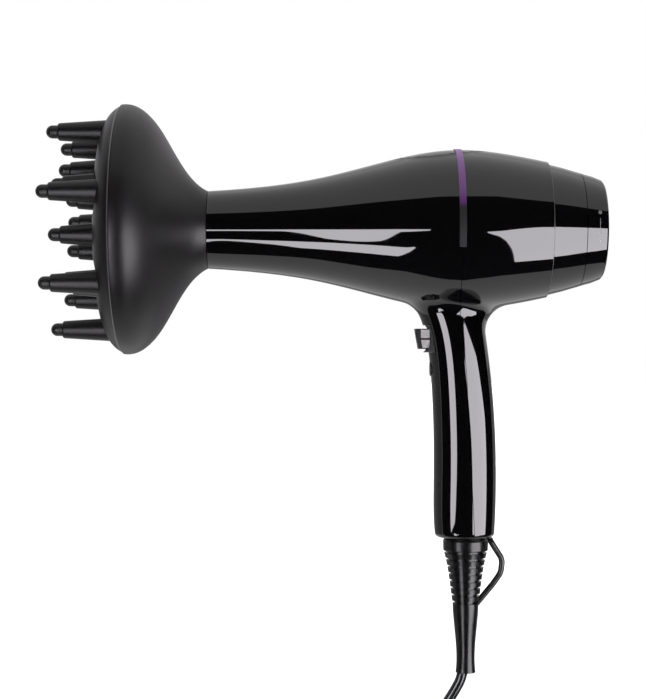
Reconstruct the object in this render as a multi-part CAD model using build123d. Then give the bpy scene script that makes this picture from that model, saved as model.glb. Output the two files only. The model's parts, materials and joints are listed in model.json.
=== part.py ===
from build123d import *
from math import atan, cos, degrees, pi, radians, sin, tan
import os

# A hand-held hair dryer with a fingered diffuser on its nozzle.
# Millimetres. Origin at the middle of the grip, +Z up along the handle, +X towards the air inlet.

# Barrel
axis_z = 126.0          # barrel axis above the middle of the grip
wall = 2.2              # housing wall
nozzle_x = -153.0       # face that the diffuser butts against
seam_x = -4.5           # seam between the front and the rear housing
rear_x = 48.9           # rear end of the housing
seam_r = 47.7           # outer radius at the seam, the widest place
barrel_curve = [(-153, 23.3), (-122, 25.7), (-92, 30.0), (-62, 37.0), (-32, 44.4), (-4, seam_r),
                (21.6, 45.7), (rear_x, 40.6)]
spigot_r = 18.8         # outside of the nozzle that the diffuser pushes on to
spigot_length = 18.0
outlet_r = 17.0

# Handle, as front x, rear x and half width at even steps up from its foot
handle_foot_z = -58.2
handle_step = 30.0
handle_sections = [(-17.3, 17.9, 15.6), (-18.3, 19.1, 16.5), (-18.3, 18.7, 16.6), (-19.4, 16.7, 16.6),
                   (-22.9, 13.1, 16.8), (-38.0, 9.5, 17.2)]
neck_rounding = 16.0    # between the handle and the barrel
foot_rounding = 3.2
parting_line = [(seam_x, 86.0), (-3.3, 71.0), (0.0, 40.0), (5.0, -60.0)]
parting_gap = 0.3       # shadow gap between the two housings

# Accent band over the barrel
band_width = 4.0
band_proud = 0.5
band_depth = 1.2
band_foot_z = -13.0     # its ends, from the barrel axis

# Diffuser
bell_curve = [(-153.4, 23.1), (-158.4, 26.2), (-168, 37.1), (-177.6, 53.3), (-187.2, 67.1),
              (-196.8, 73.9), (-203.6, 74.5)]
plate_curve = [(-203.9, 73.8), (-209.6, 69.6), (-213.8, 62.0), (-215.6, 52.0), (-214.6, 38.0),
               (-211.6, 22.0), (-210.0, 0.0)]
plate_wall = 2.0
bell_wall = 2.2
lobes = 7
outer_ring_r = 60.0
inner_ring_r = 36.0
outer_start = -17.1     # degrees from the side, towards the handle
inner_start = 8.6
seat_x = -211.4         # seat of each outer finger
inner_seat_x = -213.8
air_holes = [(0, 1, 0, 5.0), (19, 7, 34.3, 3.0), (48.5, 7, 8.6, 3.0)]     # ring, count, start, radius
scallop_r = 34.0        # hollow round each outer finger
finger_root_r = 6.9
finger_end_r = 5.2
finger_bore_r = 3.3
tip_r = 3.85
tip_length = 6.9
outer_tip_x = -246.9
inner_tip_x = -243.6

# Snap ring between the diffuser and the nozzle
running = 0.05
ring_outer_r = 20.8
collar_front_x = -170.0

# Air mover
duct_r = 35.4
duct_wall = 1.8
motor_r = 23.1
rotor_r = 12.9
shaft_r = 2.5
blade_count = 9
vane_count = 6

# Inlet
cap_end_x = 82.0
collar_curve = [(49.0, 39.3), (57.6, 37.2), (68.6, 34.0)]
lock_ring_curve = [(69.0, 33.8), (75.6, 32.0), (80.9, 29.9), (cap_end_x, 28.6)]
sleeve_r = 25.2

# Switches
rocker_pivot = (-20.0, 60.6)
rocker_width = 8.4
rocker_gap = 0.6
bezel_half_width = 9.8
button_z = 43.0
button_r = 4.6
button_face_x = -20.6

# Strain relief, loop and cord
boot_x = 0.9
boot_end_z = -139.2
boot_curve = [(7.8, -98.0), (6.0, -120.0), (5.5, -132.0), (6.0, boot_end_z)]
groove_count = 8
groove_pitch = 4.3
loop_r = 1.8
clamp_x = -4.1
clamp_z = -41.5
clamp_screw_y = 7.6
case_screw_z = -14.0
case_head_x = 13.0
screw_r = 1.5
cord_r = 3.2
floor_z = -215.0
cord_route = [(0.3, 0.0, -129.2), (-0.4, 0.0, -140.8), (-6.2, 0.0, -151.6), (-14.2, 0.6, -163.6),
              (-25.6, 1.0, -175.4), (-40.0, 0.6, -185.2), (-56.4, -0.4, -190.4), (-74.0, -0.8, -191.4)]
tail_route = [(-70.0, -1.0, -210.4), (-84.0, -1.6, -210.4), (-97.0, -4.6, -208.6), (-110.0, -6.0, -206.2)]
coil_centre = (-72.0, 42.6)
coil_radii = (30.5, 43.5)
tie_thickness = 1.2
tie_width = 14.0
coil_low_z = floor_z + tie_thickness
coil_height = 25.6

# Plug with two round pins
plug_front_x = -150.0
plug_y = -6.0
plug_z = -206.2
plug_sections = [(-150, 32.0, 15.6), (-141, 34.6, 17.2), (-129, 26.0, 16.4), (-119, 14.0, 12.6),
                 (-110, 10.6, 10.2)]                                    # x, width, thickness
pin_spacing = 19.0
pin_r = 2.4
pin_length = 19.0


def save(name, shape):
    """Writes one sub-part as parts/NAME.step."""
    export_step(shape, f"parts/{name}.step")


def at_axis(shape):
    """Lifts a shape made about the X axis to the barrel axis."""
    return Pos(0, 0, axis_z) * shape


def turned(*outline):
    """A ring or disc about the barrel axis, from the corners (x, radius) of its section."""
    section = make_face(Polyline(*outline, close=True))
    return at_axis(revolve(Plane.XZ * section, Axis.X))


def tube(x0, x1, outer, inner):
    """A straight tube about the barrel axis."""
    return turned((x0, inner), (x1, inner), (x1, outer), (x0, outer))


def disc(x0, x1, radius):
    """A solid cylinder about the barrel axis."""
    return turned((x0, 0), (x1, 0), (x1, radius), (x0, radius))


def inset(curve, depth):
    """The same (x, radius) curve moved towards the axis by a wall's thickness."""
    before = [curve[0]] + curve[:-1]
    after = curve[1:] + [curve[-1]]
    side = -1 if curve[-1][0] > curve[0][0] else 1
    moved = []
    for (x0, r0), (x, r), (x1, r1) in zip(before, curve, after):
        run = Vector(x1 - x0, r1 - r0).normalized()
        moved.append((x - side * depth * run.Y, r + side * depth * run.X))
    return moved


def filled(curve):
    """The solid of revolution under a smooth (x, radius) curve."""
    (x0, r0), (x1, r1) = curve[0], curve[-1]
    edges = [Spline(*curve)]
    if r1 > 0:
        edges.append(Polyline((x1, r1), (x1, 0), (x0, 0), (x0, r0)))
    else:
        edges.append(Polyline((x1, 0), (x0, 0), (x0, r0)))
    return at_axis(revolve(Plane.XZ * make_face(edges), Axis.X))


def axis_point(x, radius, angle):
    """A point about the barrel axis. The angle runs from the near side down towards the handle."""
    return (x, -radius * cos(radians(angle)), axis_z - radius * sin(radians(angle)))


def spaced(radius, start, x=0.0):
    """The seven places of one ring of fingers."""
    return [Pos(*axis_point(x, radius, start + 360 / lobes * i)) for i in range(lobes)]


# Housing

def handle_loft(inwards=0.0):
    """The handle's outer form, or its hollow when moved inwards by the wall."""
    sections = []
    for i, (front, rear, half_width) in enumerate(handle_sections):
        z = handle_foot_z + handle_step * i
        outline = Ellipse((rear - front) / 2 - inwards, half_width - inwards)
        sections.append(Pos((front + rear) / 2, 0, z) * outline)
    return loft(sections)


def housing_shell():
    """Both housings before they are parted: barrel, nozzle spigot and handle, all hollow."""
    inner_curve = inset(barrel_curve, wall)
    inner_curve[0] = (nozzle_x + wall, inner_curve[0][1])
    inner_curve[-1] = (rear_x + 1, inner_curve[-1][1])
    spigot = disc(nozzle_x - spigot_length, nozzle_x + wall, spigot_r)
    barrel = filled(barrel_curve)
    grip = handle_loft()
    grip = fillet(grip.edges().group_by(Axis.Z)[0], foot_rounding)
    outside = barrel + grip
    joint = [e for e in outside.edges() if 70 < e.center().Z < 100 and e not in barrel.edges()]
    outside = fillet(joint, neck_rounding) + spigot
    bore = disc(nozzle_x - spigot_length - 1, nozzle_x + wall + 1, outlet_r)
    floor = Pos(0, 0, handle_foot_z - 20 + wall) * Box(80, 80, 40)
    return outside - filled(inner_curve) - bore - (handle_loft(wall) - floor)


def rear_of_parting(shift=0.0):
    """A block that holds all that belongs to the rear housing, or a little less when shifted."""
    outline = [(seam_x, 200)] + parting_line + [(5.0, -80), (120, -80), (120, 200)]
    return Pos(shift, 0, 0) * extrude(Plane.XZ * make_face(Polyline(*outline, close=True)), 100, both=True)


def band_groove(extra=0.0):
    """The arch that the accent band fills."""
    centre = seam_x
    ring = tube(centre - band_width / 2, centre + band_width / 2, seam_r + band_proud + extra, seam_r - band_depth)
    return ring - Pos(0, 0, axis_z + band_foot_z - 50) * Box(100, 120, 100)


def along_x(radius, x0, x1, z, y=0):
    """A cylinder that lies along X, between two places."""
    return Pos((x0 + x1) / 2, y, z) * Rot(0, 90, 0) * Cylinder(radius, x1 - x0)


def screw_bosses():
    """Posts inside the front housing for the case screw and the two clamp screws."""
    posts = [along_x(3.2, -13.1, clamp_x - 1.8, clamp_z, side * clamp_screw_y) for side in (-1, 1)]
    return [along_x(3.8, -17.0, 3.0, case_screw_z)] + posts


def housing_openings():
    """Holes in both housings for the switches, the button and the boot."""
    pivot_x, pivot_z = rocker_pivot
    switch_hole = Pos(pivot_x - 4, 0, pivot_z + 0.1) * Box(20, 2 * bezel_half_width + 0.1, 16.3)
    button_hole = along_x(button_r + 0.3, -28, -12, button_z)
    boot_hole = Pos(boot_x, 0, handle_foot_z) * Cylinder(10.5, 12)
    return [switch_hole, button_hole, boot_hole]


def housings():
    """The front and the rear housing."""
    shell = housing_shell() - band_groove(extra=2) - housing_openings()
    front = (shell - rear_of_parting()) + screw_bosses()
    front -= [along_x(screw_r, -12, 0, clamp_z, side * clamp_screw_y) for side in (-1, 1)]
    front -= along_x(screw_r, -5, 5, case_screw_z)
    rear = (shell & rear_of_parting(parting_gap)) + along_x(4.6, 4.6, 16.8, case_screw_z)
    rear -= [along_x(screw_r + 0.15, 2, 20, case_screw_z), along_x(3.2, case_head_x, 24, case_screw_z)]
    return front, rear


def accent_band():
    """A coloured arch set in the seam over the barrel."""
    return band_groove()


def rear_collar():
    """Step-down collar behind the housing, with a lip inside it and a web for the inlet sleeve."""
    inner = inset(collar_curve, 2.2)
    lip = [(49.0, 35.9), (43.0, 35.9), (43.0, 37.6), (49.0, 37.6)]
    shell = turned(*collar_curve, (68.6, inner[2][1]), inner[1], *lip)
    return shell + tube(60, 62, 34.4, sleeve_r + 0.4)


# Diffuser

def diffuser_bell():
    """The flared bell, with the collar inside its neck that turns on the snap ring."""
    inner = inset(bell_curve, bell_wall)
    collar_r = ring_outer_r + running
    neck_x = bell_curve[0][0]
    solid = filled(bell_curve)
    hollow_curve = [(-160.8, 23.2)] + inner[2:-1] + [(-204.0, 71.9)]
    collar = tube(collar_front_x, neck_x, collar_r + 2.0, collar_r)
    lip = tube(neck_x - 1.2, neck_x, collar_r + 1.0, spigot_r + 0.6)
    shell = solid - filled(hollow_curve) - disc(-205, neck_x + 1, collar_r)
    return shell + collar + lip


def diffuser_plate():
    """The dished face plate: wavy rim, seats with holes for the fingers, and air holes."""
    seats = [Pos(seat_x, 0, 0) * p for p in spaced(outer_ring_r, outer_start)]
    seats += [Pos(inner_seat_x, 0, 0) * p for p in spaced(inner_ring_r, inner_start)]
    lying = Rot(0, 90, 0)
    middles = spaced(outer_ring_r, outer_start, seat_x - scallop_r)
    outside = filled(plate_curve) - [place * Sphere(scallop_r) for place in middles]
    hollow = filled(inset(plate_curve, plate_wall)[:-1] + [(plate_curve[-1][0] + plate_wall, 0)])
    hollow -= [place * Sphere(scallop_r + plate_wall) for place in middles]
    hollow -= [Pos(2.7, 0, 0) * place * lying * Cylinder(9.4, 3.4) for place in seats]
    rim = tube(-206.4, -199.5, 71.2, 69.4)
    holes = [place * lying * Cylinder(finger_root_r + 0.1, 20) for place in seats]
    for ring, count, start, radius in air_holes:
        for i in range(count):
            middle = axis_point(seat_x, ring, start + 360 / count * i)
            holes.append(Pos(*middle) * lying * Cylinder(radius, 20))
    return outside - hollow + rim - holes


def finger(place, root_x, end_x):
    """One hollow tapered finger with a flange behind the plate and a rounded shoulder."""
    shoulder = 1.6
    body_end = end_x + tip_length
    outline = Polyline((root_x + 6.4, finger_bore_r), (root_x + 6.4, 9.2), (root_x + 4.6, 9.2),
                       (root_x + 4.6, finger_root_r), (root_x, finger_root_r),
                       (body_end + shoulder, finger_end_r))
    corner = ThreePointArc((body_end + shoulder, finger_end_r),
                           (body_end + 0.45, finger_end_r - 0.45),
                           (body_end, finger_end_r - shoulder))
    close = Polyline((body_end, finger_end_r - shoulder), (body_end, finger_bore_r),
                     (root_x + 6.4, finger_bore_r))
    section = make_face([outline, corner, close])
    return place * revolve(Plane.XZ * section, Axis.X)


def finger_tip(place, end_x):
    """The rounded pin that fills the end of a finger."""
    body_end = end_x + tip_length
    stem_end = body_end + 14
    stem_r = finger_bore_r - 0.05
    pin = Cylinder(stem_r, stem_end - body_end, align=(Align.CENTER, Align.CENTER, Align.MIN))
    pin += Pos(0, 0, end_x + tip_r - body_end) * Cylinder(tip_r, tip_length - tip_r, align=(
        Align.CENTER, Align.CENTER, Align.MIN))
    pin += Pos(0, 0, end_x + tip_r - body_end) * Sphere(tip_r)
    return place * Pos(body_end, 0, 0) * Rot(0, 90, 0) * pin


def snap_ring():
    """Plastic ring that clips on the nozzle and carries the bell."""
    inner = spigot_r + running
    front = collar_front_x - 0.3
    return turned((-154.9, inner), (-154.9, ring_outer_r), (front, ring_outer_r), (front, 22.4),
                  (front - 1.4, 22.4), (front - 1.4, inner))


# Heater and nozzle

def outlet_grille():
    """Rings and bars across the nozzle's mouth."""
    x0, x1 = -170.4, -168.2
    grille = tube(x0, x1, outlet_r - 0.03, outlet_r - 1.4)
    for radius in (4.0, 9.6):
        grille += tube(x0, x1, radius + 0.6, radius - 0.6)
    bar = at_axis(Pos((x0 + x1) / 2, 0, 0) * Box(x1 - x0, 2 * outlet_r - 2, 1.2))
    cross = bar + bar.rotate(Axis((0, 0, axis_z), (1, 0, 0)), 90)
    return grille + cross


def heater_tube():
    """Heat-proof liner between the heater and the housing."""
    return turned((-132, 21.0), (-132, 21.6), (-62, 30.6), (-62, 30.0))


def heater_boards():
    """Two crossed boards that the heating wire is wound round."""
    outline = Polyline((-130, -17), (-130, 17), (-64, 25.0), (-64, -25.0), close=True)
    board = extrude(Plane.XZ * make_face(outline), 0.4, both=True)
    return at_axis(board + board.rotate(Axis.X, 90))


def heating_coil():
    """Resistance wire wound round the boards, wider towards the fan."""
    rise = 56.0
    radius_front, radius_back = 18.6, 25.4
    cone = degrees(atan((radius_back - radius_front) / rise))
    path = Helix(pitch=7.0, height=rise, radius=radius_front, cone_angle=cone)
    wire = sweep(Plane(path @ 0, z_dir=path % 0) * Circle(0.7), path=path, is_frenet=True)
    return at_axis(Pos(-126, 0, 0) * Rot(0, 90, 0) * wire)


def thermal_cutout():
    """Bimetal switch fixed to one heater board."""
    return at_axis(Pos(-74, 2.9, 8) * Box(9, 5, 6))


def ion_emitters():
    """Two needle holders inside the nozzle, above and below."""
    holder = Pos(-145, 0, 19.2) * Box(9, 3, 3.6)
    needle = Pos(-151.5, 0, 19.0) * Rot(0, 90, 0) * Cylinder(0.5, 4)
    one = holder + Pos(3, 0, 0) * needle
    return Compound(children=[at_axis(one), at_axis(one.rotate(Axis.X, 180))])


# Motor and fan

def motor_duct():
    """Air duct with ribs to the housing, vanes and the tube that holds the motor."""
    duct = tube(-36, 37, duct_r + duct_wall, duct_r)
    duct += tube(-34, -31, 41.2, duct_r + 1)
    duct += tube(33.6, 36.6, 40.6, duct_r + 1)
    duct += tube(-44, 14, motor_r + 1.6, motor_r + 0.1)
    vane = Pos(-6, 0, (motor_r + duct_r) / 2 + 0.8) * Box(28, 1.4, duct_r - motor_r)
    for i in range(vane_count):
        duct += at_axis(vane.rotate(Axis.X, 360 / vane_count * i))
    return duct


def sector(x0, x1, outer, inner, half_height):
    """A pair of curved blocks on the left and the right of the barrel axis."""
    ring = tube(x0, x1, outer, inner)
    block = at_axis(Box(200, 200, 2 * half_height))
    return ring & block


def stator_core():
    """Laminated ring with two pole pieces."""
    ring = tube(-22, 2, motor_r, 19.5)
    return ring + sector(-22, 2, 19.6, 15.6, 5.8) + sector(-22, 2, 15.8, 13.3, 10.0)


def field_coils():
    """Two saddle coils round the poles."""
    band = sector(-27, 7, 19.3, 16.0, 10.5)
    return band - at_axis(Pos(-10, 0, 0) * Box(24.4, 60, 12.0))


def motor_brackets():
    """End discs that hold the bearings, with windows for the air."""
    brackets = []
    for x in (-43.0, 10.0):
        plate = tube(x, x + 3, motor_r, 6.55)
        for i in range(4):
            window = at_axis((Pos(x, 0, 15) * Box(10, 9, 8)).rotate(Axis.X, 90 * i + 45))
            plate -= window
        brackets.append(plate)
    return Compound(children=brackets)


def shaft_bearings():
    """The bearing at each end of the motor."""
    return Compound(children=[tube(x, x + 3, 6.5, shaft_r + running) for x in (-43.0, 10.0)])


def brush_holders():
    """Two square tubes that guide the brushes, with a foot on the motor tube."""
    outer = Pos(-32, 0, 16.4) * Box(7, 7, 13.0)
    inner = Pos(-32, 0, 16.4) * Box(4.3, 4.3, 14.0)
    holder = outer - inner
    return Compound(children=[at_axis(holder), at_axis(holder.rotate(Axis.X, 180))])


def brushes():
    """Two carbon blocks that run on the commutator."""
    block = Pos(-32, 0, 12.2) * Box(4.1, 4.1, 10.0)
    return Compound(children=[at_axis(block), at_axis(block.rotate(Axis.X, 180))])


def armature():
    """Slotted rotor core on the shaft."""
    core = tube(-22, 2, rotor_r, shaft_r)
    slot = Pos(-10, 0, rotor_r - 1.5) * Box(30, 2.0, 5.0)
    for i in range(10):
        core -= at_axis(slot.rotate(Axis.X, 36 * i))
    return core


def commutator():
    """Copper drum that the brushes touch."""
    return tube(-36, -28, 7.0, shaft_r)


def motor_shaft():
    """Steel shaft through the armature and the impeller."""
    return disc(-44, 33, shaft_r)


def impeller():
    """Axial fan: a rounded hub and pitched blades."""
    hub = tube(18, 31, 12.0, shaft_r)
    hub = fillet(hub.edges().filter_by(GeomType.CIRCLE).group_by(Axis.X)[-1].sort_by(SortBy.RADIUS)[-1], 4)
    root = Pos(0, 0, 11.0) * Rot(0, 0, 48) * Rectangle(1.4, 15)
    tip = Pos(0, 0, duct_r - 0.7) * Rot(0, 0, 62) * Rectangle(1.0, 19)
    blade = Pos(24.5, 0, 0) * loft([root, tip])
    for i in range(blade_count):
        hub += at_axis(blade.rotate(Axis.X, 360 / blade_count * i))
    return hub


# Air inlet

def inlet_lock_ring():
    """Tapered ring round the inlet that is turned to free the cap."""
    return turned(*lock_ring_curve, (cap_end_x, 25.6), (78.6, 25.6), (78.0, 28.0), (69.0, 31.4))


def inlet_grille():
    """Sleeve that slides in the collar, with rings and bars across its end."""
    grille = tube(58, 81.4, sleeve_r, sleeve_r - 1.6)
    grille += turned((66.0, sleeve_r - 1), (66.0, 27.4), (67.6, 27.4), (67.6, sleeve_r - 1))
    for radius in (4.5, 9.0, 13.5, 18.0, 22.5):
        grille += tube(79.6, 81.4, radius + 0.7, radius - 0.7)
    bar = at_axis(Pos(80.5, 0, 0) * Box(1.8, 2 * sleeve_r - 1.6, 1.4))
    for i in range(4):
        grille += bar.rotate(Axis((0, 0, axis_z), (1, 0, 0)), 45 * i)
    return grille


def lint_filter():
    """Fine screen in a frame, behind the grille."""
    frame = tube(74, 77, sleeve_r - 1.7, sleeve_r - 3.4)
    return frame + disc(75.2, 75.8, sleeve_r - 3)


# Switches

def switch_bezel():
    """Raised frame round the rockers, with a hollowed front edge."""
    height = 16.2
    outer = Pos(-16.5, 0, 60.7) * Box(15, 2 * bezel_half_width, height)
    inner = Pos(-17.5, 0, 60.7) * Box(18, 2 * bezel_half_width - 1.6, height - 2.8)
    scoop = Pos(-31.6, 0, 61.3) * Rot(90, 0, 0) * Cylinder(11.5, 40)
    return outer - inner - scoop


def rocker(side):
    """One rocker key: a flat front with a dished middle, a cut-back outer corner and a groove on its side."""
    pivot_z = rocker_pivot[1]
    outline = [(-29.6, 66.7), (-27.5, 54.6), (-22.0, 54.6), (-15.4, 57.2), (-15.4, 64.0), (-22.6, 66.7)]
    key = extrude(Plane.XZ * make_face(Polyline(*outline, close=True)), rocker_width / 2, both=True)
    outer_corner = max(key.edges(), key=lambda e: side * e.center().Y - e.center().X)
    key = chamfer(outer_corner, 2.2)
    dish = Pos(-35.4, 0, pivot_z) * Rot(90, 0, 0) * Cylinder(7.6, rocker_width - 5.0)
    groove = Pos(-24.0, side * rocker_width / 2, pivot_z) * Box(20, 0.8, 1.2)
    return Pos(0, side * (rocker_width + rocker_gap) / 2, 0) * (key - dish - groove)


def switch_body():
    """Contact block behind both rockers."""
    return Pos(-8.7, 0, 60.7) * Box(9, 2 * bezel_half_width - 2.4, 13)


def cool_shot_button():
    """Flush round button in the front of the handle, with a flange behind the wall."""
    face = along_x(button_r, button_face_x, -15.7, button_z)
    face = fillet(face.edges().group_by(Axis.X)[0], 0.6)
    return face + [along_x(6.2, -15.8, -14.6, button_z), along_x(1.8, -15.0, -9.0, button_z)]


def button_spring():
    """Return spring between the button and the circuit board."""
    path = Helix(pitch=1.8, height=9.0, radius=3.0)
    wire = sweep(Plane(path @ 0, z_dir=path % 0) * Circle(0.3), path=path, is_frenet=True)
    return Pos(-14.2, 0, button_z) * Rot(0, 90, 0) * wire


def circuit_board():
    """Board behind the button that carries the rectifier and the ion supply."""
    board = Pos(-3.2, 0, 24) * Box(1.6, 22, 56)
    module = Pos(1.4, 0, 12) * Box(7.6, 16, 24)
    return board + module


# Handle foot

def boot_profile_radius(z):
    """Radius of the boot's plain taper in its grooved stretch."""
    top_z, low_z = -65.5, -98.0
    return 13.0 + (7.8 - 13.0) * ((z - top_z) / (low_z - top_z)) ** 0.8


def strain_relief(loop):
    """Rubber boot: flange and neck in the handle's foot, a collar, grooves and a long taper."""
    top = Polyline((0, -52.6), (13.0, -52.6), (13.0, -55.9), (10.4, -55.9), (10.4, -58.3), (12.6, -58.3),
                   (13.5, -60.2), (13.4, -65.5))
    ribs = Spline((13.4, -65.5), (boot_profile_radius(-76), -76), (boot_profile_radius(-87), -87),
                  (7.8, -98.0))
    taper = Spline(*boot_curve)
    close = Polyline((6.0, boot_end_z), (0, boot_end_z), (0, -52.6))
    boot = Pos(boot_x, 0, 0) * revolve(Plane.XZ * make_face([top, ribs, taper, close]), Axis.Z)
    for i in range(groove_count):
        z = -66.8 - groove_pitch * i
        radius = boot_profile_radius(z)
        ring = Cylinder(radius + 3, 1.5) - Cylinder(radius - 1.7, 1.5)
        boot -= Pos(boot_x, 0, z) * ring
    start_x, start_y, start_z = cord_route[0]
    bore = Pos(start_x, start_y, (start_z + boot_end_z) / 2) * Cylinder(cord_r, start_z - boot_end_z)
    return boot - bore - loop


def rounded_path(points, radii):
    """Straight runs joined by tangent arcs."""
    return FilletPolyline(*points, radius=radii)


def hanging_loop():
    """Rubber strap from the handle's foot to the lower end of the grooves."""
    points = [(15.4, 0, -59.6), (18.8, 0, -65.2), (23.0, 0, -71.6), (22.0, 0, -79.6), (17.2, 0, -86.4),
              (7.6, 0, -98.0)]
    path = rounded_path(points, [9.0, 8.0, 9.0, 10.0])
    strap = sweep(Plane(path @ 0, z_dir=path % 0) * Circle(loop_r), path=path)
    tab = Pos(14.9, 0, -59.9) * Box(4.4, 6.0, 2.6)
    return strap + tab


def cord_clamp():
    """Bar that grips the cord above the boot."""
    bar = Pos(clamp_x, 0, clamp_z) * Box(3.6, 22, 9)
    return bar - [along_x(screw_r, -10, 0, clamp_z, side * clamp_screw_y) for side in (-1, 1)]


def cord_inner():
    """Sheathed end of the cord inside the handle, with its two conductors."""
    sheath = Pos(boot_x, 0, -44.5) * Cylinder(cord_r, 16)
    return sheath + [Pos(boot_x, side * 1.5, -34) * Cylinder(0.9, 6) for side in (-1, 1)]


def screw(x, y, z, length):
    """One cross-slot screw whose head's underside is at x, driven towards -X."""
    head = along_x(2.8, x, x + 1.8, z, y)
    shank = along_x(screw_r, x - length, x, z, y)
    slots = [Pos(x + 1.8, y, z) * Box(1.2, 3.6, 0.9), Pos(x + 1.8, y, z) * Box(1.2, 0.9, 3.6)]
    return head + shank - slots


def screws():
    """The case screw and the two screws of the cord clamp."""
    clamp_face = clamp_x + 1.8
    parts = [screw(clamp_face, side * clamp_screw_y, clamp_z, 8) for side in (-1, 1)]
    return Compound(children=[screw(case_head_x, 0, case_screw_z, 15)] + parts)


# Cord, coil and plug

def corner_radii(points):
    """The largest easy arc at each corner: 0.45 of the shorter run over the tangent of half the turn."""
    radii = []
    for before, here, after in zip(points, points[1:], points[2:]):
        first = Vector(*here) - Vector(*before)
        second = Vector(*after) - Vector(*here)
        half_turn = radians(first.get_angle(second) / 2)
        radii.append(0.45 * min(first.length, second.length) / tan(half_turn))
    return radii


def cord_tube(label, points):
    """A round cord along straight runs and tangent arcs."""
    radii = corner_radii(points)
    path = rounded_path(points, radii)
    cord = sweep(Plane(path @ 0, z_dir=path % 0) * Circle(cord_r), path=path)
    ideal = pi * cord_r**2 * path.length
    print(label, "radii", [round(r, 1) for r in radii], "length", round(path.length, 1),
          "volume over ideal", round(cord.volume / ideal, 4))
    return cord


def coil_ring(extra, rounding):
    """A rounded ring on the floor, as large as the coiled cord, or larger all round."""
    inner, outer = coil_radii[0] - cord_r - extra, coil_radii[1] + cord_r + extra
    height = coil_height + 2 * extra
    ring = Cylinder(outer, height) - Cylinder(inner, height)
    ring = fillet(ring.edges().filter_by(GeomType.CIRCLE), rounding)
    return Pos(*coil_centre, coil_low_z + coil_height / 2) * ring


def cord_coil():
    """Outer shape of the coiled length, on the floor."""
    return coil_ring(0, 2.8)


def cord_tie():
    """Strap closed round the coil on its far side."""
    block = Pos(coil_centre[0], coil_centre[1] + 40, coil_low_z) * Box(tie_width, 60, 100)
    return (coil_ring(tie_thickness, 3.8) - coil_ring(0.05, 2.8)) & block


def plug_body():
    """Flat two-pin plug: waisted sides, rounded edges and a tapered cord sleeve."""
    sections = []
    for x, width, thickness in plug_sections:
        outline = RectangleRounded(width, thickness, thickness * 0.42)
        sections.append(Plane((x, plug_y, plug_z), x_dir=(0, 1, 0), z_dir=(1, 0, 0)) * outline)
    return loft(sections)


def plug_pins():
    """Two round pins with domed ends."""
    pins = []
    for side in (-1, 1):
        pin = Pos(plug_front_x - pin_length / 2, plug_y + side * pin_spacing / 2, plug_z)
        solid = Rot(0, 90, 0) * Cylinder(pin_r, pin_length)
        solid = fillet(solid.edges().group_by(Axis.X)[0], 1.6)
        pins.append(pin * solid)
    return Compound(children=pins)


def main():
    os.makedirs("parts", exist_ok=True)
    front, rear = housings()
    loop = hanging_loop()
    save("front_housing", front)
    save("rear_housing", rear)
    save("accent_band", accent_band())
    save("rear_collar", rear_collar())
    save("diffuser_bell", diffuser_bell())
    save("diffuser_plate", diffuser_plate())
    outer_places = spaced(outer_ring_r, outer_start)
    inner_places = spaced(inner_ring_r, inner_start)
    for i, place in enumerate(outer_places):
        save(f"outer_finger_{i + 1}", finger(place, seat_x, outer_tip_x))
    for i, place in enumerate(inner_places):
        save(f"inner_finger_{i + 1}", finger(place, inner_seat_x, inner_tip_x))
    tips = [finger_tip(place, outer_tip_x) for place in outer_places]
    tips += [finger_tip(place, inner_tip_x) for place in inner_places]
    save("finger_tips", Compound(children=tips))
    save("snap_ring", snap_ring())
    save("outlet_grille", outlet_grille())
    save("heater_tube", heater_tube())
    save("heater_boards", heater_boards())
    save("heating_coil", heating_coil())
    save("thermal_cutout", thermal_cutout())
    save("ion_emitters", ion_emitters())
    save("motor_duct", motor_duct())
    save("stator_core", stator_core())
    save("field_coils", field_coils())
    save("motor_brackets", motor_brackets())
    save("shaft_bearings", shaft_bearings())
    save("brush_holders", brush_holders())
    save("brushes", brushes())
    save("armature", armature())
    save("commutator", commutator())
    save("motor_shaft", motor_shaft())
    save("impeller", impeller())
    save("inlet_lock_ring", inlet_lock_ring())
    save("inlet_grille", inlet_grille())
    save("lint_filter", lint_filter())
    save("switch_bezel", switch_bezel())
    save("speed_rocker", rocker(-1))
    save("heat_rocker", rocker(1))
    save("switch_body", switch_body())
    save("cool_shot_button", cool_shot_button())
    save("button_spring", button_spring())
    save("circuit_board", circuit_board())
    save("strain_relief", strain_relief(loop))
    save("hanging_loop", loop)
    save("cord_clamp", cord_clamp())
    save("cord_inner", cord_inner())
    save("screws", screws())
    save("power_cord", cord_tube("power_cord", cord_route))
    save("cord_coil", cord_coil())
    save("cord_tail", cord_tube("cord_tail", tail_route))
    save("cord_tie", cord_tie())
    save("plug_body", plug_body())
    save("plug_pins", plug_pins())


main()
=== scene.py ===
# %% [markdown]
# # A hair dryer with its finger diffuser
#
# A salon hair dryer is two glossy black shells round a motor and a heater, on a
# handle with switches. A matt black diffuser bell is pushed on its nozzle. The
# engineering model already has every part at its real size, so this lesson
# gives those parts their light, their finishes and the small surface detail.
# All lengths are in metres. The barrel runs along X, and Z points up.

# %% Load the engineering model
import json
import math

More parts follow.
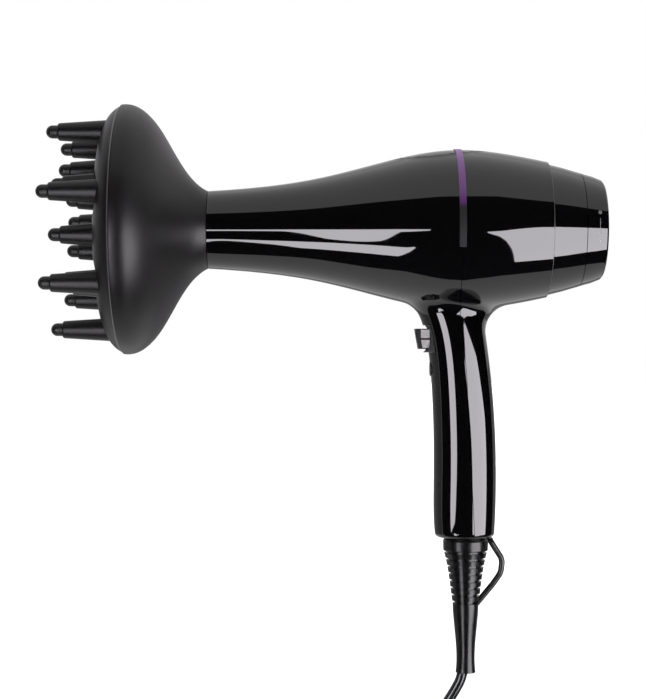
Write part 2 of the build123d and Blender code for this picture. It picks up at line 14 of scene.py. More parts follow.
import bmesh
import bpy
import numpy as np
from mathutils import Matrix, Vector

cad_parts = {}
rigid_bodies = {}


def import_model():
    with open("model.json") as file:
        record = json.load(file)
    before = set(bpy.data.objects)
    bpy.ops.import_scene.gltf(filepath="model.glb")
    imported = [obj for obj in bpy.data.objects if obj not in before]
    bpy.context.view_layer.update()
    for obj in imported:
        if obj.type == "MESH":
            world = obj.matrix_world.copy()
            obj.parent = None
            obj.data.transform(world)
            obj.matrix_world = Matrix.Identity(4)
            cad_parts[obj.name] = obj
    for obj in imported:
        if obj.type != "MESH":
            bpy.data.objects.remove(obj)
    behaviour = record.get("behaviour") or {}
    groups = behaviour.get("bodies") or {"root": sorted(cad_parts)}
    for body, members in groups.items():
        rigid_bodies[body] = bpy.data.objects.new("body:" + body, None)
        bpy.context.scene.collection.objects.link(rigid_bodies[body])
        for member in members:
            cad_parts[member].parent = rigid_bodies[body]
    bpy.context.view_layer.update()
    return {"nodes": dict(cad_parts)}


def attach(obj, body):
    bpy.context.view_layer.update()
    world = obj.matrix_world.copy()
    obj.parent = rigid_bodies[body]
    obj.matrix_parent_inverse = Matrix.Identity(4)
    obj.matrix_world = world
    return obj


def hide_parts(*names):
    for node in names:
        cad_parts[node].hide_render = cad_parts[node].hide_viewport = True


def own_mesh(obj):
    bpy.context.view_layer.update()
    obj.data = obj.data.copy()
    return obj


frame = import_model()
nodes = frame["nodes"]
print("parts loaded:", len(nodes))

# %% [markdown]
# ## Camera
#
# The dryer stands upright and is seen square from its side, from about a metre
# away. A long lens keeps the bell and the motor end in proportion. A camera
# looks along its own -Z axis, so a quarter turn about X levels it.

# %% The camera
CAMERA_PLACE = (-0.0846, -0.960, 0.0543)
LENS = 82.4  # millimetres
SENSOR = 36.0  # millimetres

camera_data = bpy.data.cameras.new("camera")
camera_data.lens = LENS
camera_data.sensor_width = SENSOR
camera = bpy.data.objects.new("camera", camera_data)
camera.location = CAMERA_PLACE
camera.rotation_euler = (math.pi / 2, 0.0, 0.0)
bpy.context.scene.collection.objects.link(camera)
bpy.context.scene.camera = camera
print("camera", round(-CAMERA_PLACE[1], 2), "m from the dryer's middle")

# %% [markdown]
# ## The mains cord
#
# A cord is one length of flex, so it is one NURBS curve with a round section.
# It hangs out of the boot, bends down to the floor, is wound up in a coil of ten
# turns and ends in its plug. The listed points are the free stretches. A
# loop makes the coil, because a coil is a rule: twelve points to a turn, turns
# side by side and in layers. Each layer change moves back by one point, so two
# crossings never meet. The order is set after the points, or it stays straight.

# %% The cord's route
CORD_RADIUS = 0.0032
FREE_ROUTE = [
    (0.0003, 0.0, -0.1292), (-0.0004, 0.0, -0.1408), (-0.0062, 0.0, -0.1516),
    (-0.0142, 0.0006, -0.1636), (-0.0256, 0.001, -0.1754), (-0.040, 0.0006, -0.1852),
    (-0.0564, -0.0004, -0.1904), (-0.074, -0.0008, -0.1914),
]
TAIL_ROUTE = [
    (-0.070, -0.001, -0.2104), (-0.084, -0.0016, -0.2104),
    (-0.097, -0.0046, -0.2086), (-0.110, -0.006, -0.2062),
]
COIL_CENTRE = (-0.072, 0.0426)
COIL_RADII = (0.0305, 0.0370, 0.0435)
LAYER_LOW = -0.2106
LAYER_STEP = 0.0064
POINTS_PER_TURN = 12
STEPS_PER_RING = 11
DRAW_IN = 0.966  # a quadratic spline through twelve points a turn runs this much inside them


def coil_rings():
    """(radius, height) of each ring of the coil, from the top layer to the floor."""
    inner, middle, outer = COIL_RADII
    layers = [[outer, middle], [inner, middle, outer], [outer, middle, inner], [inner, middle, outer]]
    top = LAYER_LOW + LAYER_STEP * (len(layers) - 1)
    return [(r, top - LAYER_STEP * i) for i, layer in enumerate(layers) for r in layer]


def coil_points():
    """The coil's control points, clockwise as seen from above, from its -Y side."""
    rings = coil_rings()
    points = []
    for step in range(1, STEPS_PER_RING * len(rings) - 1):
        radius, height = rings[step // STEPS_PER_RING]
        angle = math.radians(-90.0 - step * 360.0 / POINTS_PER_TURN)
        reach = radius / DRAW_IN
        points.append((COIL_CENTRE[0] + reach * math.cos(angle),
                       COIL_CENTRE[1] + reach * math.sin(angle), height))
    return points


# %% The cord as a curve
def cord_curve(name, points, radius):
    """One open NURBS spline with a round section.

    The bevel is 1 and the points carry the radius, so that the curve's own box is right.
    """
    curve = bpy.data.curves.new(name, "CURVE")
    curve.dimensions = "3D"
    curve.bevel_depth = 1.0
    curve.bevel_resolution = 6
    curve.resolution_u = 10
    curve.use_fill_caps = True
    spline = curve.splines.new("NURBS")
    spline.points.add(len(points) - 1)
    for point, place in zip(spline.points, points):
        point.co = (*place, 1.0)
        point.radius = radius
    spline.order_u = 3
    spline.use_endpoint_u = True
    made = bpy.data.objects.new(name, curve)
    bpy.context.scene.collection.objects.link(made)
    return made


mains_cord = cord_curve("mains_cord", FREE_ROUTE + coil_points() + TAIL_ROUTE, CORD_RADIUS)
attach(mains_cord, "root")
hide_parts("power_cord", "cord_coil", "cord_tail")
# the coil stays out of the mirror of the barrel's underside
for laid in (mains_cord, nodes["cord_tie"], nodes["plug_body"], nodes["plug_pins"]):
    laid.visible_glossy = False
print("cord points:", len(mains_cord.data.splines[0].points))

# %% [markdown]
# ## The studio
#
# Gloss black plastic shows nothing but what it reflects, so the room matters more
# than the lamps. The room is white, with a pale floor. In front of the dryer hangs
# a dark cloth with bright panels in it, which draw the long streaks along the
# barrel and the handle, and a grey cloth hangs behind it, which keeps the edges
# dark. The cloths and panels are cards that are bent round the dryer. Only
# reflections and soft light see them, and never the camera.

# %% Room and floor
FLOOR_HEIGHT = -0.215
FLOOR_SIZE = 24.0

bpy.context.scene.view_settings.view_transform = "Standard"
world = bpy.data.worlds.new("studio")
world.use_nodes = True
world.node_tree.nodes["Background"].inputs["Color"].default_value = (1.0, 1.0, 1.0, 1.0)
bpy.context.scene.world = world


def plain_shader(name, kind, colour):
    """A material of a single shader, for the stage. An emission colour past 1 is a strength."""
    material = bpy.data.materials.new(name)
    material.use_nodes = True
    tree = material.node_tree
    tree.nodes.clear()
    shader = tree.nodes.new("ShaderNode" + kind)
    shader.inputs["Color"].default_value = (*colour, 1.0)
    out = tree.nodes.new("ShaderNodeOutputMaterial")
    tree.links.new(shader.outputs[0], out.inputs["Surface"])
    material.cycles.emission_sampling = "NONE"
    return material


bpy.ops.mesh.primitive_plane_add(size=FLOOR_SIZE, location=(0.0, 0.0, FLOOR_HEIGHT))
floor = bpy.context.object
floor.name = "floor"
floor.data.materials.append(plain_shader("floor_white", "BsdfDiffuse", (0.92, 0.92, 0.92)))
floor.visible_glossy = False


# %% Cards
CARD_COLUMNS = 48


def card(name, distance, outline, colour, diffuse=False):
    """A card bent round the dryer.

    outline lists (azimuth, foot, head): the azimuth is in degrees, from the camera's side
    towards +X, and foot and head are heights in metres.
    """
    azimuths, feet, heads = zip(*outline)
    turns = np.linspace(azimuths[0], azimuths[-1], CARD_COLUMNS + 1)
    x, y = distance * np.sin(np.radians(turns)), -distance * np.cos(np.radians(turns))
    low, high = np.interp(turns, azimuths, feet), np.interp(turns, azimuths, heads)
    vertices = [*zip(x, y, low), *zip(x, y, high)]
    wide = CARD_COLUMNS + 1
    faces = [(i, i + 1, i + wide + 1, i + wide) for i in range(CARD_COLUMNS)]
    mesh = bpy.data.meshes.new(name)
    mesh.from_pydata(vertices, [], faces)
    mesh.materials.append(plain_shader(name, "Emission", colour))
    made = bpy.data.objects.new(name, mesh)
    bpy.context.scene.collection.objects.link(made)
    made.visible_camera = False
    made.visible_diffuse = diffuse
    made.visible_shadow = False
    made.visible_transmission = False


# %% Cloths and panels
BLACK = (0.0, 0.0, 0.0)
BRIGHT_GREY = (0.74, 0.72, 0.74)
DIM_GREY = (0.34, 0.33, 0.34)
PANEL = (11.0, 10.7, 11.2)
CLOTH_DISTANCE = 1.6
REAR_DISTANCE = 1.7
PANEL_DISTANCE = 0.7
FRONT_CLOTH = (
    (-88, -2.8, 1.5), (-50, -3.4, 1.5), (-30, -7.0, 1.55), (-10, -9.0, 1.68),
    (25, -9.0, 1.65), (40, -6.0, 1.4), (55, -3.8, 1.1), (68, -2.9, 0.95),
    (92, -1.9, 0.75), (121, -1.6, 0.6),
)
REAR_CLOTH_HIGH = ((124, 0.15, 1.7), (269, 0.15, 1.7))
REAR_CLOTH_LOW = ((124, -0.7, 0.15), (269, -0.7, 0.15))
LEFT_PANEL_HIGH = (
    (-50, -0.21, 0.092), (-34, -0.17, 0.092), (-31, -0.13, 0.092), (-29, -0.07, 0.092),
    (-27, 0.0, 0.092), (-25.5, 0.045, 0.092), (-14, 0.065, 0.086),
)
LEFT_PANEL_LOW = (
    (-40, -0.48, -0.22), (-33, -0.52, -0.235), (-30, -0.46, -0.25), (-26, -0.37, -0.262),
    (-22.5, -0.27, -0.245),
)
RIGHT_PANEL = (
    (14.5, 0.03, 0.045), (20, -0.03, 0.06), (23, -0.10, 0.075), (27, -0.25, 0.10),
    (32, -0.46, 0.13), (37, -0.66, 0.14), (46, -0.59, 0.13), (56, -0.43, 0.12),
    (64, -0.36, 0.11), (76, -0.28, 0.02),
)

card("front_cloth", CLOTH_DISTANCE, FRONT_CLOTH, BLACK, diffuse=True)
card("rear_cloth_high", REAR_DISTANCE, REAR_CLOTH_HIGH, BRIGHT_GREY)
card("rear_cloth_low", REAR_DISTANCE, REAR_CLOTH_LOW, DIM_GREY)
card("panel_left_high", PANEL_DISTANCE, LEFT_PANEL_HIGH, PANEL)
card("panel_left_low", PANEL_DISTANCE, LEFT_PANEL_LOW, PANEL)
card("panel_right", PANEL_DISTANCE, RIGHT_PANEL, PANEL)

# %% Soft light from above
SKY_STRENGTH = 2.6
SKY_WIDTH = math.radians(70.0)
SKY_TILT = math.radians(-8.0)

sky_data = bpy.data.lights.new("sky_light", "SUN")
sky_data.energy = SKY_STRENGTH
sky_data.angle = SKY_WIDTH
sky = bpy.data.objects.new("sky_light", sky_data)
sky.rotation_euler = (SKY_TILT, 0.0, 0.0)
sky.visible_glossy = False
bpy.context.scene.collection.objects.link(sky)
print("stage ready")

# %% [markdown]
# ## Finishes
#
# A small class wraps one socket of a material, so that shader maths reads as
# plain expressions. Every finish starts from the same Principled shader.

# %% Shader helper
MIX_COLOUR_A = 6  # the places of a Mix node's colour sockets
MIX_COLOUR_B = 7
MIX_COLOUR_OUT = 2


class Wire:
    """One value inside a material, with the operators that shader maths needs."""

    def __init__(self, tree, socket=None):
        self.tree = tree
        self.socket = socket

    def node(self, kind, settings, inputs, output=0):
        """A new node: its type, its settings, then the values or wires of its sockets."""
        made = self.tree.nodes.new("ShaderNode" + kind)
        for key, value in settings.items():
            if key == "stops":
                ramp = made.color_ramp
                while len(ramp.elements) < len(value):
                    ramp.elements.new(0.5)
                for element, (place, colour) in zip(ramp.elements, value):
                    element.position = place
                    element.color = (*colour, 1.0)
            else:
                setattr(made, key, value)
        for key, value in inputs.items():
            if isinstance(value, Wire):
                self.tree.links.new(value.socket, made.inputs[key])
            else:
                made.inputs[key].default_value = value
        return Wire(self.tree, made.outputs[output])

    def math(self, operation, *values):
        return self.node("Math", {"operation": operation}, dict(enumerate(values)))

    def __add__(self, other):
        return self.math("ADD", self, other)

    def __sub__(self, other):
        return self.math("SUBTRACT", self, other)

    def __rsub__(self, other):
        return self.math("SUBTRACT", other, self)

    def __mul__(self, other):
        return self.math("MULTIPLY", self, other)

    __radd__ = __add__
    __rmul__ = __mul__

    def sine(self):
        return self.math("SINE", self)

    def ramp(self, low, high):
        """0 below low, 1 above high, and smooth between."""
        return self.node(
            "MapRange", {"interpolation_type": "SMOOTHSTEP"},
            {"Value": self, "From Min": low, "From Max": high},
        )

    def place(self):
        """Object coordinates: the place of a point in the dryer's own frame."""
        made = self.tree.nodes.new("ShaderNodeTexCoord")
        return Wire(self.tree, made.outputs["Object"])

    def axis(self, name):
        """One of the coordinates of a vector."""
        return self.node("SeparateXYZ", {}, {"Vector": self}, output="XYZ".index(name))

    def noise(self, size, detail=2.0, stretch=None):
        """Grain whose lumps are about size metres across."""
        where = self
        if stretch is not None:
            where = self.node("Mapping", {}, {"Vector": self, "Scale": stretch})
        return where.node("TexNoise", {}, {"Vector": where, "Scale": 1.0 / size, "Detail": detail})

    def mix(self, low, high):
        """A colour that goes from low to high as this value goes from 0 to 1."""
        ends = [end if isinstance(end, Wire) else (*end, 1.0) for end in (low, high)]
        return self.node(
            "Mix", {"data_type": "RGBA"},
            {"Factor": self, MIX_COLOUR_A: ends[0], MIX_COLOUR_B: ends[1]}, output=MIX_COLOUR_OUT,
        )

    def bump(self, height, strength):
        """A normal tilted by this value, whose full swing is height metres."""
        return self.node("Bump", {}, {"Height": self, "Distance": height, "Strength": strength})


def finish(name, varied, **constant):
    """A Principled material. varied(place) gives the sockets that change over the surface."""
    material = bpy.data.materials.new(name)
    material.use_nodes = True
    tree = material.node_tree
    shader = tree.nodes["Principled BSDF"]
    for key, value in constant.items():
        socket_name = key.replace("_", " ").title().replace("Ior", "IOR")
        shader.inputs[socket_name].default_value = value
    for key, value in varied(Wire(tree).place()).items():
        tree.links.new(value.socket, shader.inputs[key])
    return material


# %% [markdown]
# ## Plastics and rubber
#
# The housings are polished and painted, so their only texture is a slight haze.
# The diffuser has a soft-touch coat, which is nearly matt and a little uneven.
# The boot, cord and plug are moulded rubber and vinyl, each glossier or duller.
# The black of each one is never a pure black, and its grain is real in size.
# What is printed on a part, or painted on it as light, is a mask on its place: a
# plain line and dot printed on the turn ring, a painted highlight along the edge
# of the seam before the rear collar, which is also made duller, and a painted
# highlight along the rim of the diffuser's face plate.

# %% Gloss housing
PAINT_EDGE = 0.00008
# COLLAR_SEAM is the X span of the collar seam, where a highlight is painted and the finish is duller
COLLAR_SEAM = (0.04850, 0.04900)
LOCK_LINE_X = (0.07625, 0.07665)
LOCK_LINE_Z = (0.1165, 0.1305)
LOCK_DOT = (0.07645, 0.1340, 0.0011)  # X, Z and radius
MIDDLE_PLANE = (-0.001, 0.001)
SEAM_DULLNESS = 0.35


def between(wire, low, high):
    """1 between two values of a wire and 0 elsewhere."""
    above_low = wire.ramp(low - PAINT_EDGE, low + PAINT_EDGE)
    above_high = wire.ramp(high - PAINT_EDGE, high + PAINT_EDGE)
    return above_low * (1.0 - above_high)


def gloss_housing(place):
    haze = place.noise(0.004, 3.0)
    x, z = place.axis("X"), place.axis("Z")
    camera_side = 1.0 - place.axis("Y").ramp(*MIDDLE_PLANE)
    # painted highlight: a thin line of lighter colour along the seam before the rear collar, also
    # made duller
    seam = between(x, *COLLAR_SEAM)
    dot_x, dot_z, dot_size = LOCK_DOT
    from_dot = (x - dot_x) * (x - dot_x) + (z - dot_z) * (z - dot_z)
    dot = 1.0 - from_dot.ramp((dot_size - PAINT_EDGE)**2, (dot_size + PAINT_EDGE)**2)
    printed = (between(x, *LOCK_LINE_X) * between(z, *LOCK_LINE_Z) + dot) * camera_side
    black = haze.mix((0.0030, 0.0026, 0.0032), (0.0042, 0.0038, 0.0045))
    # the seam line is painted lighter, as a painted highlight on its edge
    black_with_painted_seam_highlight = seam.mix(black, (0.045, 0.043, 0.045))
    return {
        "Base Color": printed.mix(black_with_painted_seam_highlight, (0.20, 0.19, 0.20)),
        "Roughness": 0.025 + haze * 0.02 + (seam + printed) * SEAM_DULLNESS,
    }


# %% Soft touch and finger tips
# RIM_LINE is the X span of the face plate's rim, where a highlight is painted
RIM_LINE = (-0.20475, -0.20425)
RIM_EDGE = 0.0002


def soft_black(place):
    grain = place.noise(0.0004, 2.0)
    patch = place.noise(0.02, 3.0)
    x = place.axis("X")
    front, rear = RIM_LINE
    # painted highlight: a thin line of lighter colour along the rim of the face plate
    rim_painted_highlight = x.ramp(front - RIM_EDGE, front) * (1.0 - x.ramp(rear, rear + RIM_EDGE))
    black = patch.mix((0.0058, 0.0050, 0.0056), (0.0085, 0.0074, 0.0082))
    return {
        "Base Color": rim_painted_highlight.mix(black, (0.10, 0.095, 0.10)),
        "Roughness": 0.35 + patch * 0.07,
        "Normal": grain.bump(0.00003, 0.4),
    }


def tip_black(place):
    grain = place.noise(0.0006, 2.0)
    return {
        "Base Color": grain.mix((0.006, 0.006, 0.006), (0.010, 0.010, 0.010)),
        "Roughness": 0.36 + grain * 0.10,
        "Normal": grain.bump(0.00002, 0.3),
    }


# %% Moulded plastic, rubber and vinyl
def black_plastic(place):
    spark = place.noise(0.0005, 3.0)
    return {
        "Base Color": spark.mix((0.010, 0.010, 0.011), (0.018, 0.018, 0.019)),
        "Roughness": 0.34 + spark * 0.16,
        "Normal": spark.bump(0.00004, 0.5),
    }


def rubber_black(place):
    cloud = place.noise(0.006, 3.0)
    grain = place.noise(0.0005, 2.0)
    return {
        "Base Color": cloud.mix((0.0045, 0.0042, 0.0046), (0.0072, 0.0068, 0.0073)),
        "Roughness": 0.20 + cloud * 0.08,
        "Normal": grain.bump(0.00002, 0.3),
    }


def cord_black(place):
    cloud = place.noise(0.003, 2.0)
    return {
        "Base Color": cloud.mix((0.007, 0.007, 0.0075), (0.012, 0.012, 0.0125)),
        "Roughness": 0.16 + cloud * 0.10,
        "Normal": cloud.bump(0.00008, 0.3),
    }


def plug_black(place):
    spark = place.noise(0.0006, 3.0)
    return {
        "Base Color": spark.mix((0.012, 0.012, 0.0125), (0.019, 0.019, 0.020)),
        "Roughness": 0.36 + spark * 0.12,
        "Normal": spark.bump(0.00005, 0.5),
    }


# %% [markdown]
# ## Accent band and switch keys
#
# The band is purple over the top of the barrel and fades to grey at each side,
# where it meets the plain seam. The keys are dark with a bright satin pad on
# each outer face. Both change with place, so both read the dryer's own axes.

# %% Accent and keys
BAND_FADE = (0.1352, 0.1392)
KEY_FACE = 0.00855
KEY_PAD_X = (-0.0264, -0.0212)
KEY_PAD_Z = (0.0553, 0.0600, 0.0612, 0.0661)
PAD_SHINE = 0.85


def accent(place):
    flake = place.noise(0.0003, 1.0)
    purple = flake.mix((0.095, 0.024, 0.140), (0.135, 0.040, 0.190))
    grey = flake.mix((0.020, 0.020, 0.021), (0.030, 0.030, 0.031))
    upper = place.axis("Z").ramp(*BAND_FADE)
    return {
        "Base Color": upper.mix(grey, purple),
        "Roughness": 0.26 + flake * 0.10,
    }


def key_grey(place):
    brushed = place.noise(0.0004, 2.0)
    y, z = place.axis("Y"), place.axis("Z")
    side = (y * y).ramp(KEY_FACE**2, (KEY_FACE + PAINT_EDGE)**2)
    low, low_end, high, high_end = KEY_PAD_Z
    split = between(z, low, low_end) + between(z, high, high_end)
    pad = side * between(place.axis("X"), *KEY_PAD_X) * split
    dark = brushed.mix((0.022, 0.020, 0.021), (0.034, 0.031, 0.032))
    satin = brushed.mix((0.50, 0.48, 0.49), (0.66, 0.64, 0.65))
    return {
        "Base Color": pad.mix(dark, satin),
        "Metallic": pad * PAD_SHINE,
        "Roughness": 0.30 + brushed * 0.12,
        "Normal": brushed.bump(0.00002, 0.4),
    }


# %% [markdown]
# ## Metals and the parts inside
#
# Inside there is steel, copper wire, a stack of thin iron sheets, carbon, mica
# and a resistance wire that has been hot. Each gets the mark of how it is made:
# the stack its sheet edges, the coils their turns and the wire its heat colours.

# %% Metals
SHEET_STEP = 0.0005
WIRE_STEP = 0.0004
TRACK_STEP = 0.006
FULL_TURN = 2 * math.pi


def steel(place):
    scratch = place.noise(0.0006, 3.0, stretch=(1.0, 6.0, 6.0))
    return {
        "Base Color": scratch.mix((0.42, 0.42, 0.43), (0.62, 0.62, 0.63)),
        "Roughness": 0.24 + scratch * 0.16,
        "Normal": scratch.bump(0.00001, 0.4),
    }


def pin_metal(place):
    scratch = place.noise(0.0008, 3.0, stretch=(0.2, 4.0, 4.0))
    return {
        "Base Color": scratch.mix((0.60, 0.58, 0.54), (0.78, 0.76, 0.72)),
        "Roughness": 0.16 + scratch * 0.16,
        "Normal": scratch.bump(0.00001, 0.4),
    }


def copper(place):
    turns = (place.axis("X") * (FULL_TURN / WIRE_STEP)).sine()
    cloud = place.noise(0.003, 3.0)
    return {
        "Base Color": cloud.mix((0.36, 0.13, 0.05), (0.60, 0.25, 0.11)),
        "Roughness": 0.26 + cloud * 0.16,
        "Normal": turns.bump(0.00012, 0.5),
    }


def lamination(place):
    edge = (place.axis("X") * (FULL_TURN / SHEET_STEP)).sine()
    rust = place.noise(0.004, 4.0)
    return {
        "Base Color": (edge * 0.25 + rust).mix((0.10, 0.10, 0.11), (0.24, 0.22, 0.21)),
        "Roughness": 0.36 + rust * 0.20,
        "Normal": edge.bump(0.00010, 0.5),
    }


def heating_wire(place):
    heat = place.noise(0.012, 3.0)
    return {
        "Base Color": heat.mix((0.16, 0.15, 0.17), (0.40, 0.33, 0.27)),
        "Roughness": 0.30 + heat * 0.22,
    }


# %% Carbon, mica, ceramic and board
def carbon(place):
    dust = place.noise(0.0005, 4.0)
    return {
        "Base Color": dust.mix((0.010, 0.010, 0.010), (0.045, 0.045, 0.045)),
        "Roughness": 0.52 + dust * 0.2,
        "Normal": dust.bump(0.00004, 0.6),
    }


def mica(place):
    flake = place.noise(0.0025, 4.0, stretch=(1.0, 1.0, 2.0))
    return {
        "Base Color": flake.mix((0.30, 0.25, 0.17), (0.56, 0.50, 0.38)),
        "Roughness": 0.28 + flake * 0.3,
        "Normal": flake.bump(0.00005, 0.5),
    }


def cutout_case(place):
    dust = place.noise(0.0015, 3.0)
    return {
        "Base Color": dust.mix((0.52, 0.49, 0.42), (0.70, 0.67, 0.60)),
        "Roughness": 0.42 + dust * 0.2,
    }


def board_green(place):
    weave = place.noise(0.0008, 2.0, stretch=(1.0, 3.0, 1.0))
    track = (place.axis("Z") * (FULL_TURN / TRACK_STEP)).sine().ramp(0.2, 0.3)
    return {
        "Base Color": (weave * 0.5 + track * 0.5).mix((0.010, 0.060, 0.030), (0.04, 0.19, 0.09)),
        "Roughness": 0.30 + weave * 0.15,
    }


# %% Every finish on its parts
METALS = {"steel": steel, "pin_metal": pin_metal, "copper": copper, "lamination": lamination,
          "heating_wire": heating_wire}
OTHERS = {"black_plastic": black_plastic, "cord_black": cord_black, "plug_black": plug_black,
          "accent": accent, "key_grey": key_grey, "carbon": carbon, "mica": mica,
          "cutout_case": cutout_case, "board_green": board_green}
FINISHES = {
    "gloss_housing": finish("gloss_housing", gloss_housing),
    "soft_black": finish("soft_black", soft_black, specular_ior_level=0.24),
    "tip_black": finish("tip_black", tip_black, specular_ior_level=0.30),
    "rubber_black": finish("rubber_black", rubber_black, specular_ior_level=0.28),
}
for name, varied in METALS.items():
    FINISHES[name] = finish(name, varied, metallic=1.0)
for name, varied in OTHERS.items():
    FINISHES[name] = finish(name, varied)
for node in nodes.values():
    for slot in node.material_slots:
        slot.material = FINISHES[slot.material.name.split(".")[0]]
mains_cord.data.materials.append(FINISHES["cord_black"])
print("finishes:", len(FINISHES))

# %% [markdown]
# ## Polished housings
#
# In a polished black part the eye sees every flat facet as a wobble in a streak.
# The housing parts have the right shape, but their facets are too coarse for
# that. So each visible housing part is copied, its long edges are split, and the
# way that each outer corner faces is worked out from the form it was designed
# on: a barrel whose radius follows a smooth curve, and a handle of ellipses that
# flow into it. That is cheaper than more triangles and smoother than shading by
# neighbours.

# %% The form the housings follow
AXIS_Z = 0.126
HANDLE_FOOT = -0.0582
HANDLE_STEP = 0.030
HANDLE_FRONT = (-0.0173, -0.0183, -0.0183, -0.0194, -0.0229, -0.0380)
HANDLE_REAR = (0.0179, 0.0191, 0.0187, 0.0167, 0.0131, 0.0095)
HANDLE_HALF_WIDTH = (0.0156, 0.0165, 0.0166, 0.0166, 0.0168, 0.0172)
HANDLE_HEAD = HANDLE_FOOT + HANDLE_STEP * (len(HANDLE_FRONT) - 1)
HANDLE_DEGREE = len(HANDLE_FRONT) - 1
NECK_BLEND = 0.008
OUTWARDS = 0.9
TINY = 1e-6


def smooth_curve(at, value, degree):
    """A polynomial through or near the values, and its slope."""
    curve = np.polynomial.Polynomial.fit(at, value, degree)
    return curve, curve.deriv()


def profile_of(names, low, high, degree):
    """The barrel's radius as a smooth curve of X, from the outermost corners of these parts."""
    x, radius = [], []
    for name in names:
        for face in nodes[name].data.polygons:
            centre, normal = face.center, face.normal
            lifted = Vector((0.0, centre.y, centre.z - AXIS_Z)).normalized()
            if low < centre.x < high and centre.z > AXIS_Z and normal.dot(lifted) > OUTWARDS:
                for i in face.vertices:
                    co = nodes[name].data.vertices[i].co
                    x.append(co.x)
                    radius.append(math.hypot(co.y, co.z - AXIS_Z))
    curve, slope = smooth_curve(x, radius, degree)
    miss = np.abs(curve(np.array(x)) - radius).max()
    print(names[0], "outline fits within", round(1000 * float(miss), 2), "mm")
    return curve, slope


def barrel_facing(points, profile):
    """Distance from the barrel's surface, and the way it faces there."""
    curve, slope = profile
    y, z = points[:, 1], points[:, 2] - AXIS_Z
    radius = np.maximum(np.hypot(y, z), TINY)
    rise = slope(points[:, 0])
    facing = np.stack([-rise, y / radius, z / radius], 1)
    length = np.linalg.norm(facing, axis=1)
    return (radius - curve(points[:, 0])) / length, facing / length[:, None]


def handle_facing(points):
    """The same for the handle, whose sections are ellipses that shift and grow with height."""
    heights = HANDLE_FOOT + HANDLE_STEP * np.arange(len(HANDLE_FRONT))
    front, rear = np.array(HANDLE_FRONT), np.array(HANDLE_REAR)
    middle, middle_slope = smooth_curve(heights, (front + rear) / 2, HANDLE_DEGREE)
    deep, deep_slope = smooth_curve(heights, (rear - front) / 2, HANDLE_DEGREE)
    wide, wide_slope = smooth_curve(heights, HANDLE_HALF_WIDTH, HANDLE_DEGREE)
    z = np.clip(points[:, 2], HANDLE_FOOT, HANDLE_HEAD)
    x, a, b = points[:, 0] - middle(z), deep(z), wide(z)
    y = points[:, 1]
    reach = np.maximum(np.sqrt((x / a) ** 2 + (y / b) ** 2), TINY)
    up = -(x * middle_slope(z) / a**2 + x**2 * deep_slope(z) / a**3 + y**2 * wide_slope(z) / b**3)
    facing = np.stack([x / a**2, y / b**2, up], 1) / reach[:, None]
    length = np.linalg.norm(facing, axis=1)
    return (reach - 1) / length, facing / length[:, None]


def housing_facing(points, profile):
    """Barrel and handle flowing into each other."""
    d1, n1 = barrel_facing(points, profile)
    d2, n2 = handle_facing(points)
    share = np.clip(0.5 + 0.5 * (d2 - d1) / NECK_BLEND, 0, 1)
    share = share * share * (3 - 2 * share)
    facing = n1 * share[:, None] + n2 * (1 - share)[:, None]
    return np.minimum(d1, d2), facing / np.linalg.norm(facing, axis=1)[:, None]


# %% Which faces are outer ones
LONGEST_EDGE = 0.0024
SPLIT_PASSES = 5
SAME_POINT = 2e-6
SHARP_ANGLE = math.radians(28.0)
SURFACE_REACH = (0.003, 0.0055)
SAME_WAY = 0.92
SAME_WAY_AT_NECK = 0.55
NECK_HEIGHTS = (0.062, 0.100)


def outer_faces(points, normals, facing, allowed):
    """Which faces lie on the outer form and look the way it does."""
    distance, way = facing(points)
    low, high = NECK_HEIGHTS
    at_neck = (points[:, 2] > low) & (points[:, 2] < high)
    alike = (normals * way).sum(1) > np.where(at_neck, SAME_WAY_AT_NECK, SAME_WAY)
    return (np.abs(distance) < SURFACE_REACH[1]) & alike & allowed(points)


# %% Splitting the long edges
def split_long_edges(mesh, facing, allowed):
    """Merges the loose triangles and halves the long edges of the outer ones, pass by pass."""
    shape = bmesh.new()
    shape.from_mesh(mesh)
    bmesh.ops.remove_doubles(shape, verts=shape.verts, dist=SAME_POINT)
    for _ in range(SPLIT_PASSES):
        points = np.array([f.calc_center_median() for f in shape.faces])
        normals = np.array([f.normal for f in shape.faces])
        outer = outer_faces(points, normals, facing, allowed)
        long_edges = {e for f, seen in zip(shape.faces, outer) if seen
                      for e in f.edges if e.calc_length() > LONGEST_EDGE}
        if not long_edges:
            break
        bmesh.ops.subdivide_edges(shape, edges=list(long_edges), cuts=1)
        bmesh.ops.triangulate(shape, faces=[f for f in shape.faces if len(f.verts) > 3])
    shape.to_mesh(mesh)
    shape.free()


# %% Turning the corners
def turn_corners(mesh, facing, allowed):
    """Makes the outer corners face as the form does, and returns how many faces that was."""
    mesh.polygons.foreach_set("use_smooth", [True] * len(mesh.polygons))
    mesh.set_sharp_from_angle(angle=SHARP_ANGLE)
    points = np.array([p.center for p in mesh.polygons])
    normals = np.array([p.normal for p in mesh.polygons])
    outer = outer_faces(points, normals, facing, allowed)
    places = np.array([v.co for v in mesh.vertices])
    distance, ways = facing(places)
    share = np.interp(np.abs(distance), SURFACE_REACH, (1.0, 0.0))[:, None]
    own_ways = np.array([corner.vector for corner in mesh.corner_normals])
    corner_ways = np.zeros((len(mesh.loops), 3))
    for face, seen in zip(mesh.polygons, outer):
        if seen:
            loops, corners = list(face.loop_indices), list(face.vertices)
            kept = share[corners]
            corner_ways[loops] = ways[corners] * kept + own_ways[loops] * (1 - kept)
    mesh.normals_split_custom_set(corner_ways.tolist())
    return int(outer.sum())


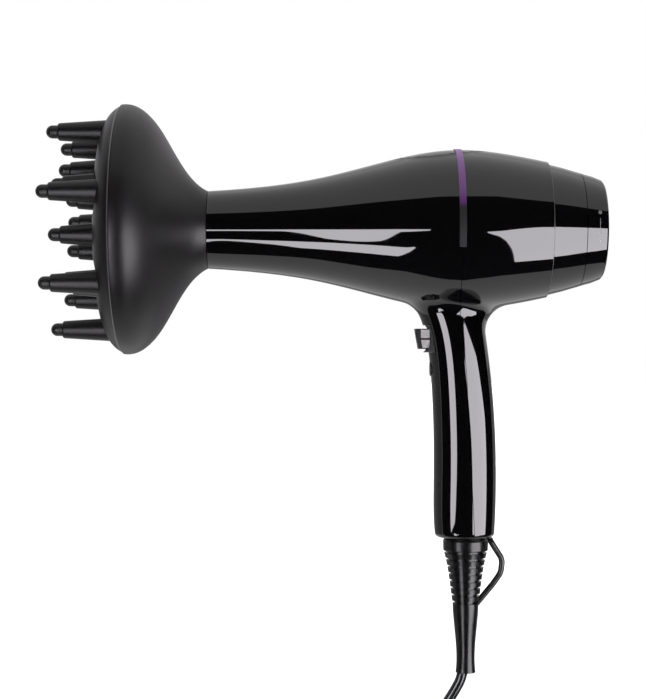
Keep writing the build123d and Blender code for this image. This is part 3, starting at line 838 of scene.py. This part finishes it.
# %% A polished copy
def body_of_part(name):
    """The body that a part of the engineering model moves with."""
    return nodes[name].parent.name.split(":")[1]


def polished_copy(name, facing, allowed):
    """A refined copy of a part, which stands for that part and moves with its body."""
    made = bpy.data.objects.new(name + "_polished", nodes[name].data.copy())
    bpy.context.scene.collection.objects.link(made)
    split_long_edges(made.data, facing, allowed)
    polished = turn_corners(made.data, facing, allowed)
    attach(made, body_of_part(name))
    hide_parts(name)
    print(made.name, len(made.data.polygons), "faces,", polished, "of them polished")


# %% The four housing parts
BARREL_SPAN = (-0.1525, 0.0485)  # where the profile is read
BARREL_OUTSIDE = (-0.1529, 0.0488)  # where corners are turned, short of the end faces
BARREL_DEGREE = 9
COLLAR_SPAN = (0.0492, 0.0808)
COLLAR_OUTSIDE = (0.0491, 0.0809)
COLLAR_DEGREE = 3
HANDLE_END_ROUNDING = 0.0035

barrel_profile = profile_of(["front_housing", "rear_housing"], *BARREL_SPAN, BARREL_DEGREE)
collar_profile = profile_of(["rear_collar", "inlet_lock_ring"], *COLLAR_SPAN, COLLAR_DEGREE)


def on_housing(points):
    x, z = points[:, 0], points[:, 2]
    front, rear = BARREL_OUTSIDE
    return (x > front) & (x < rear) & (z > HANDLE_FOOT + HANDLE_END_ROUNDING)


def on_collar(points):
    front, rear = COLLAR_OUTSIDE
    return (points[:, 0] > front) & (points[:, 0] < rear)


for part in ("front_housing", "rear_housing"):
    polished_copy(part, lambda points: housing_facing(points, barrel_profile), on_housing)
for part in ("rear_collar", "inlet_lock_ring"):
    polished_copy(part, lambda points: barrel_facing(points, collar_profile), on_collar)

# %% [markdown]
# ## Button spring
#
# A wound steel spring stands behind the cool-shot button and gets shorter as the
# button is pressed. It could be wound again here, but the engineering model's
# spring already has its turns. So it is copied, and the copy takes its place on
# the dryer's root body.

pressed_spring = bpy.data.objects.new("pressed_spring", nodes["button_spring"].data.copy())
bpy.context.scene.collection.objects.link(pressed_spring)
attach(pressed_spring, "root")
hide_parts("button_spring")
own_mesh(pressed_spring)
